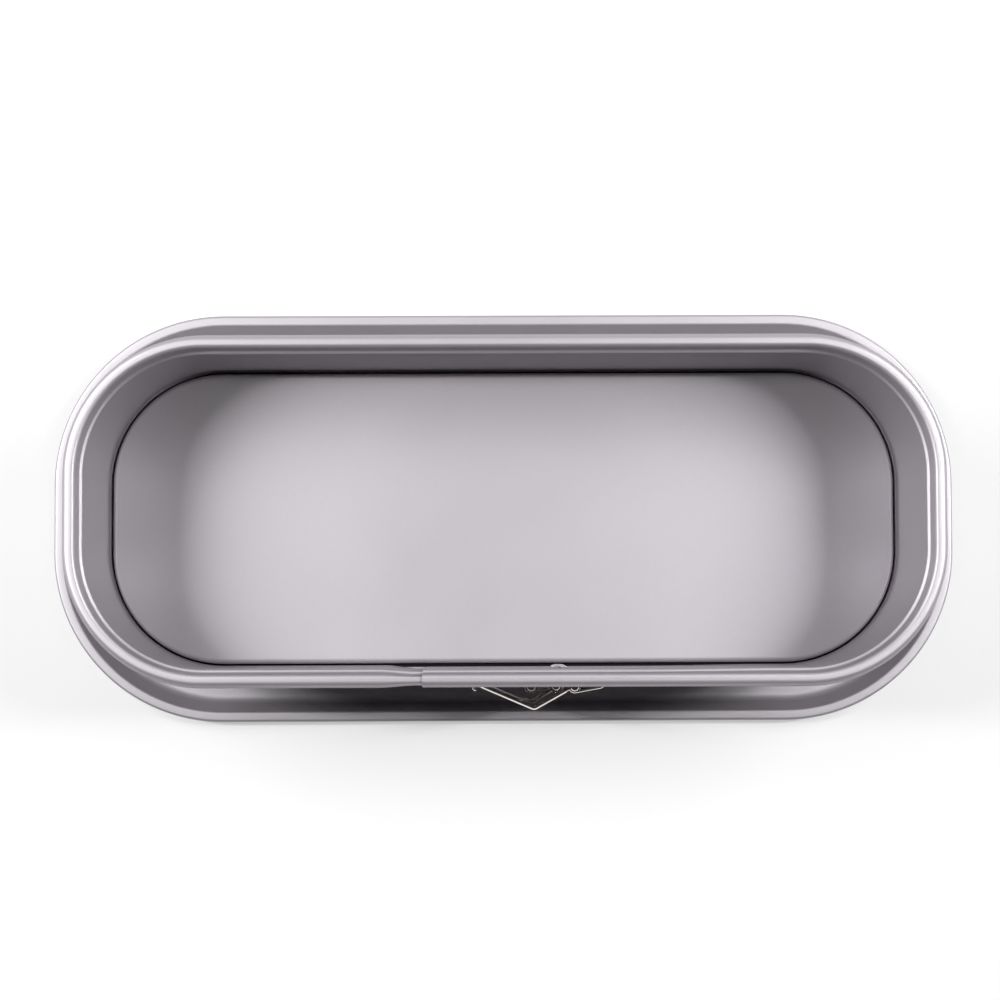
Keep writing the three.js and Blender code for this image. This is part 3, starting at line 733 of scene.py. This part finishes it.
def add_mix(nodes, links, factor, second):
    """A mix node whose second colour is given."""
    mix = nodes.new("ShaderNodeMix")
    mix.data_type = "RGBA"
    mix.inputs["B"].default_value = (*second, 1)
    links.new(factor, mix.inputs["Factor"])
    return mix


def mix_colours(nodes, links, factor, first, second):
    mix = add_mix(nodes, links, factor, second)
    mix.inputs["A"].default_value = (*first, 1)
    return mix.outputs["Result"]


def coating_material():
    """Satin silver-grey non-stick coating: a fine sandy grain over faint cloudy patches, with shade painted
    near black in the corner of the gap.
    """
    material, nodes, links, shader = new_material("coating")
    coordinates = nodes.new("ShaderNodeTexCoord").outputs["Object"]
    grain = add_noise(nodes, links, coordinates, *GRAIN_NOISE)
    clouds = add_noise(nodes, links, coordinates, *CLOUD_NOISE)
    gap = nodes.new("ShaderNodeAttribute")
    gap.attribute_name = "gap"
    # Painted shade: the gap mask mixes the near-black colour into the coating in the gap's corner
    gap_shade = add_mix(nodes, links, gap.outputs["Fac"], PAINTED_GAP_SHADE)
    links.new(mix_colours(nodes, links, grain, COATING_DARK, COATING_LIGHT), gap_shade.inputs["A"])
    links.new(gap_shade.outputs["Result"], shader.inputs["Base Color"])
    links.new(add_ramp(nodes, links, clouds, *COATING_ROUGHNESS), shader.inputs["Roughness"])
    shader.inputs["Metallic"].default_value = COATING_METALLIC
    shader.inputs["Specular Tint"].default_value = (COATING_EDGE, COATING_EDGE, COATING_EDGE, 1)
    shader.inputs["Coat Weight"].default_value = COATING_GLOSS
    shader.inputs["Coat Roughness"].default_value = COATING_GLOSS_ROUGHNESS
    add_bump(nodes, links, grain, shader, *GRAIN_BUMP)
    return material


def plating_material(name, roughness):
    """Bright nickel plating with faint drawing lines and small changes of tone."""
    material, nodes, links, shader = new_material(name)
    coordinates = nodes.new("ShaderNodeTexCoord").outputs["Object"]
    stretch = nodes.new("ShaderNodeMapping")
    stretch.inputs["Scale"].default_value = LINE_STRETCH
    links.new(coordinates, stretch.inputs["Vector"])
    lines = add_noise(nodes, links, stretch.outputs["Vector"], *LINE_NOISE)
    tone = add_noise(nodes, links, coordinates, *TONE_NOISE)
    links.new(mix_colours(nodes, links, tone, PLATING_DARK, PLATING_LIGHT), shader.inputs["Base Color"])
    links.new(add_ramp(nodes, links, lines, *roughness), shader.inputs["Roughness"])
    shader.inputs["Metallic"].default_value = 1.0
    add_bump(nodes, links, lines, shader, *LINE_BUMP)
    return material


# Pieces


def dress(piece, material, body, slot, *replaced):
    piece.data.materials.clear()
    piece.data.materials.append(material)
    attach(piece, body)
    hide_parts(*replaced)


COATING = coating_material()
PLATING = plating_material("plating", PLATING_ROUGHNESS)
PINS = plating_material("pins", PIN_ROUGHNESS)
RIVETS = plating_material("rivets", RIVET_ROUGHNESS)

dress(base_plate(), COATING, "base", "coating", "base_plate")
ring = side_ring()
cut(ring, window_cutter())
dress(ring, COATING, "ring", "coating", "side_ring")
dress(hinge_bracket(), PLATING, "ring", "plating", "hinge_bracket")
dress(anchor_bracket(), PLATING, "ring", "plating", "anchor_bracket")
dress(clasp_lever(), PLATING, "lever", "plating", "clasp_lever")
dress(refined("clasp_link", EDGE_ROUNDING), PLATING, "link", "plating", "clasp_link")
for node, body in (("hinge_pin", "ring"), ("anchor_pin", "ring"), ("link_pin", "lever")):
    dress(pin(node), PINS, body, "pins", node)
for node in ("anchor_rivet_upper", "anchor_rivet_lower"):
    dress(refined(node, EDGE_ROUNDING), RIVETS, "ring", "rivets", node)


# Stage, with floor and softboxes in metres and the camera's angles in degrees

WHITE = (1, 1, 1, 1)
FLOOR_SIZE = 12
FLOOR_Z = -0.00005
FLOOR_COLOUR = (0.46, 0.46, 0.463, 1)
FLOOR_ROUGHNESS = 0.9
FLOOR_LIFT = 0.46
ROOM_LIGHT = 0.42
ROOM_DARK = 0.03
ROOM_LIGHT_SIDE = (0, 0.75, -0.66)
ROOM_FADE = (-0.45, 0.5)  # along that side
SOFTBOX_X = 0.66
SOFTBOX_Z = 0.75
SOFTBOX_HEIGHT = 0.45
SOFTBOXES = ((0.085, 0.05, 5.2), (0.32, 0.40, 4.4))  # place along Y, width and watts
SIDE_POWER = ((-1, 1.01), (1, 0.95))  # left and right
CAMERA_POSITION = (-7.1, -35.7, 891.4)
CAMERA_TILT = 2.744  # towards the back
CAMERA_YAW = 0.357
CAMERA_ROLL = 0.217
SENSOR_WIDTH = 36
FOCAL_PIXELS = 2313.9
FRAME_PIXELS = 1000


def shown_background(nodes, links, strength):
    """The given strength on rays that show the background, to the camera or in a reflection, else none."""
    rays = nodes.new("ShaderNodeLightPath")
    total = rays.outputs["Is Camera Ray"]
    for other in ("Is Glossy Ray", "Is Transmission Ray"):
        add = nodes.new("ShaderNodeMath")
        add.operation = "MAXIMUM"
        links.new(total, add.inputs[0])
        links.new(rays.outputs[other], add.inputs[1])
        total = add.outputs["Value"]
    scale = nodes.new("ShaderNodeMath")
    scale.operation = "MULTIPLY"
    links.new(total, scale.inputs[0])
    scale.inputs[1].default_value = strength
    return scale.outputs["Value"]


def stage_floor():
    half = FLOOR_SIZE / 2
    floor = mesh_object(
        "floor",
        [(-half, -half, FLOOR_Z), (half, -half, FLOOR_Z), (half, half, FLOOR_Z), (-half, half, FLOOR_Z)],
        [(0, 1, 2, 3)],
    )
    material, nodes, links, shader = new_material("white_floor")
    shader.inputs["Base Color"].default_value = FLOOR_COLOUR
    shader.inputs["Roughness"].default_value = FLOOR_ROUGHNESS
    shader.inputs["Specular IOR Level"].default_value = 0.0
    shader.inputs["Emission Color"].default_value = WHITE
    links.new(shown_background(nodes, links, FLOOR_LIFT), shader.inputs["Emission Strength"])
    floor.data.materials.append(material)


def area_light(name, position, target, width, height, watts):
    light = bpy.data.lights.new(name, "AREA")
    light.shape = "RECTANGLE"
    light.size = width
    light.size_y = height
    light.energy = watts
    lamp = bpy.data.objects.new(name, light)
    lamp.location = position
    lamp.rotation_euler = (Vector(target) - Vector(position)).to_track_quat("-Z", "Y").to_euler()
    bpy.context.scene.collection.objects.link(lamp)


def studio_world():
    """A room that is light low at the back and dark overhead and at the front."""
    world = bpy.data.worlds.new("studio")
    bpy.context.scene.world = world
    world.use_nodes = True
    nodes, links = world.node_tree.nodes, world.node_tree.links
    direction = nodes.new("ShaderNodeVectorMath")
    direction.operation = "DOT_PRODUCT"
    links.new(nodes.new("ShaderNodeTexCoord").outputs["Generated"], direction.inputs[0])
    direction.inputs[1].default_value = ROOM_LIGHT_SIDE
    fade = nodes.new("ShaderNodeMapRange")
    fade.interpolation_type = "SMOOTHSTEP"
    fade.inputs["From Min"].default_value = ROOM_FADE[0]
    fade.inputs["From Max"].default_value = ROOM_FADE[1]
    fade.inputs["To Min"].default_value = ROOM_DARK
    fade.inputs["To Max"].default_value = ROOM_LIGHT
    links.new(direction.outputs["Value"], fade.inputs["Value"])
    nodes["Background"].inputs["Color"].default_value = WHITE
    links.new(fade.outputs["Result"], nodes["Background"].inputs["Strength"])


def stage_camera():
    camera = bpy.data.cameras.new("camera")
    camera.sensor_width = SENSOR_WIDTH
    camera.lens = camera.sensor_width * FOCAL_PIXELS / FRAME_PIXELS
    viewer = bpy.data.objects.new("camera", camera)
    viewer.location = Vector(CAMERA_POSITION) * MM
    angles = (math.radians(CAMERA_TILT), math.radians(-CAMERA_YAW), math.radians(-CAMERA_ROLL))
    viewer.rotation_euler = Euler(angles)
    bpy.context.scene.collection.objects.link(viewer)
    bpy.context.scene.camera = viewer


stage_floor()
studio_world()
for side, power in SIDE_POWER:
    for y, width, watts in SOFTBOXES:
        position = (side * SOFTBOX_X, y, SOFTBOX_Z)
        area_light("softbox", position, (0, 0, 0), width, SOFTBOX_HEIGHT, watts * power)
stage_camera()
bpy.context.scene.view_settings.view_transform = "Standard"
